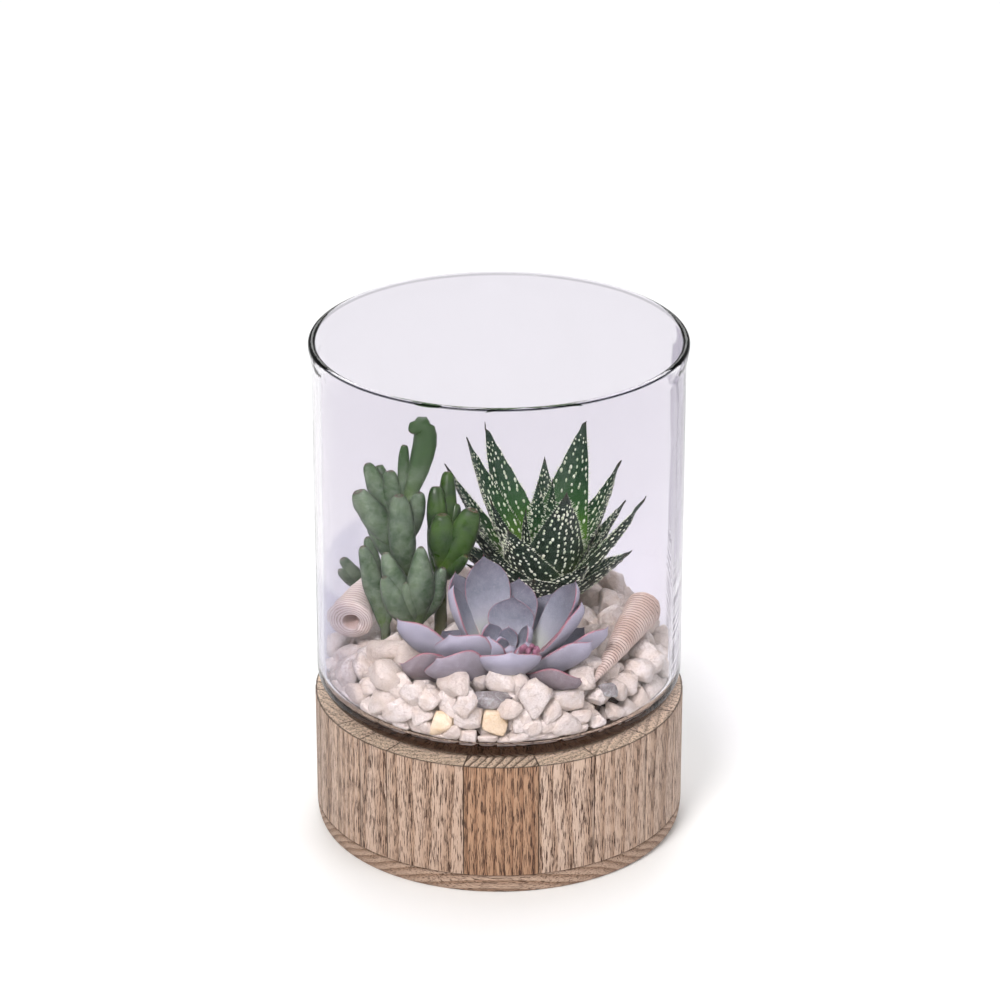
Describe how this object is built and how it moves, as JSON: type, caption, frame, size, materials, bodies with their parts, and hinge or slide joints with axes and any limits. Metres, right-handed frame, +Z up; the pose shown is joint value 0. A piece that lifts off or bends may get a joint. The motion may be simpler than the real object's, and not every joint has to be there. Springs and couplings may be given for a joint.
{
  "type": "glass plant terrarium",
  "caption": "Straight glass jar on a round glued-stave wooden base, planted with an echeveria, a lace aloe and finger jade in white marble chips with two sea shells.",
  "frame": {"origin": "centre of the flat underside of the wooden base", "axes": "+Z up along the jar's axis, -Y towards the front where the echeveria stands, +X to the right seen from the front"},
  "size_m": [0.1524, 0.1524, 0.2108],
  "materials": {
    "board_wood": "oiled, plain sawn",
    "pale_wood": "oiled, fine vertical grain",
    "dark_wood": "oiled, striped quarter-sawn grain",
    "clear_glass": "clear, polished",
    "soil": "crumbly potting soil",
    "white_marble": "matt tumbled chips",
    "yellow_marble": "matt tumbled chip",
    "slate": "matt",
    "cream_shell": "satin natural shell",
    "pink_shell": "satin natural shell",
    "echeveria_leaf": "waxy bloom, pink margins",
    "aloe_leaf": "satin with raised white dots",
    "jade_leaf": "satin, finely speckled",
    "bright_jade_leaf": "satin"
  },
  "bodies": {
    "root": {"base_board": "board_wood", "stave_01": "pale_wood", "stave_02": "pale_wood", "stave_03": "pale_wood", "stave_04": "pale_wood", "stave_05": "pale_wood", "stave_06": "dark_wood", "stave_07": "pale_wood", "stave_08": "pale_wood", "stave_09": "pale_wood", "stave_10": "pale_wood", "stave_11": "pale_wood", "stave_12": "pale_wood", "stave_13": "pale_wood", "stave_14": "pale_wood", "stave_15": "pale_wood", "stave_16": "pale_wood", "stave_17": "pale_wood", "stave_18": "pale_wood", "glass_jar": "clear_glass", "soil": "soil", "pebble_bed": "white_marble", "dark_stone_long": "slate", "dark_stone_small": "slate", "yellow_pebble_front": "yellow_marble", "yellow_pebble_left": "yellow_marble", "shell_left": "cream_shell", "shell_right": "pink_shell", "echeveria": "echeveria_leaf", "lace_aloe": "aloe_leaf", "finger_jade_tall": "jade_leaf", "finger_jade_bright": "bright_jade_leaf", "finger_jade_front": "jade_leaf", "finger_jade_left": "jade_leaf", "finger_jade_sprig": "jade_leaf"}
  },
  "joints": []
}
